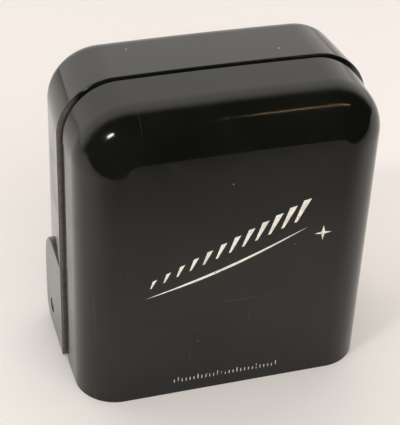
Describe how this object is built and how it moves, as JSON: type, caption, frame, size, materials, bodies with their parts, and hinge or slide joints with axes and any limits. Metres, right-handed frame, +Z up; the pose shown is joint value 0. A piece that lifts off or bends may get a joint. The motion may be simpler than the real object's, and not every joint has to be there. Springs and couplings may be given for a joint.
{
  "type": "handheld light meter",
  "caption": "Pocket light meter in a glossy black clamshell case: a hinged cover over the cell, and a pointer scale and turning dial on the back.",
  "frame": {"origin": "on the base plane, under the middle of the whole part's width and depth", "axes": "+X to the right and -Y towards whoever faces the plain cover, +Y towards the scale side, +Z up"},
  "size_m": [0.058, 0.0332, 0.062],
  "materials": {
    "bakelite": "polished black phenolic moulding",
    "deck_moulding": "satin black phenolic moulding",
    "grid_moulding": "matt black moulding",
    "nickel": "nickel plate, slightly dulled",
    "steel": "plain steel",
    "brass": "plain brass",
    "bronze": "phosphor bronze",
    "copper": "enamelled copper wire",
    "aluminium": "plain aluminium",
    "pointer_metal": "black lacquer on aluminium",
    "magnet_iron": "cast magnet alloy",
    "soft_iron": "machined soft iron",
    "glass": "clear sheet glass",
    "selenium": "grey crystalline selenium on an iron plate",
    "fibre": "vulcanised fibre",
    "card_metal": "cream lacquer with printed rules",
    "scale_metal": "cream lacquer with a printed scale",
    "disc_metal": "black lacquer with light figures",
    "wire_cover": "cotton-covered wire"
  },
  "bodies": {
    "housing": {"rear_shell": "bakelite", "hinge_screws": "nickel", "cell_deck": "deck_moulding", "deck_screws": "brass", "light_grid": "grid_moulding", "grid_bezel": "nickel", "bezel_screws": "brass", "cell_glass": "glass", "contact_frame": "brass", "selenium_cell": "selenium", "cell_insulator": "fibre", "cell_retainer": "steel", "retainer_screws": "brass", "catch_spring": "steel", "catch_rivet": "brass", "magnet": "magnet_iron", "pole_pieces": "soft_iron", "iron_core": "soft_iron", "core_bracket": "brass", "movement_plate": "brass", "movement_screws": "steel", "bridge_pillars": "brass", "rear_bridge": "brass", "bridge_screws": "steel", "front_jewel_screw": "brass", "rear_jewel_screw": "brass", "scale_plate": "scale_metal", "scale_screws": "brass", "hairspring_front": "bronze", "hairspring_rear": "bronze", "window_glass": "glass", "glass_retainer": "brass", "dial_rivet": "nickel", "dial_washer": "bronze", "resistor_bobbin": "fibre", "resistor_winding": "copper", "resistor_screw": "brass", "lead_wires": "wire_cover", "solder_tags": "brass"},
    "cover": {"front_cover": "bakelite", "hinge_arm_left": "nickel", "hinge_arm_right": "nickel", "arm_screws": "steel", "exposure_card": "card_metal", "card_pins": "brass"},
    "rotor": {"coil_former": "aluminium", "coil_winding": "copper", "pivots": "steel", "pointer": "pointer_metal", "balance_weights": "brass"},
    "zero_adjuster": {"zero_screw": "nickel"},
    "zero_lever": {"zero_lever": "brass"},
    "dial": {"calculator_disc": "disc_metal", "dial_knob": "nickel"}
  },
  "joints": [
    {"name": "cover_hinge", "type": "hinge", "parent": "housing", "child": "cover", "pos_m": [0, 0.00817, 0.0053], "axis": [1, 0, 0], "range_deg": [0, 100]},
    {"name": "needle_pivot", "type": "hinge", "parent": "housing", "child": "rotor", "pos_m": [0, 0.00918, 0.027], "axis": [0, -1, 0], "range_deg": [0, 84], "stiffness_Nm_per_rad": 0.00002},
    {"name": "zero_screw_turn", "type": "hinge", "parent": "housing", "child": "zero_adjuster", "pos_m": [0, 0.01378, 0.035], "axis": [0, 1, 0], "range_deg": [-40, 40]},
    {"name": "zero_lever_turn", "type": "hinge", "parent": "housing", "child": "zero_lever", "pos_m": [0, 0.01052, 0.027], "axis": [0, 1, 0], "range_deg": [-2.75, 2.75]},
    {"name": "dial_turn", "type": "hinge", "parent": "housing", "child": "dial", "pos_m": [0, 0.01477, 0.0185], "axis": [0, 1, 0], "continuous": true}
  ],
  "couplings": [
    {"joint": "zero_lever_turn", "follows": "zero_screw_turn", "ratio": 0.0675}
  ]
}
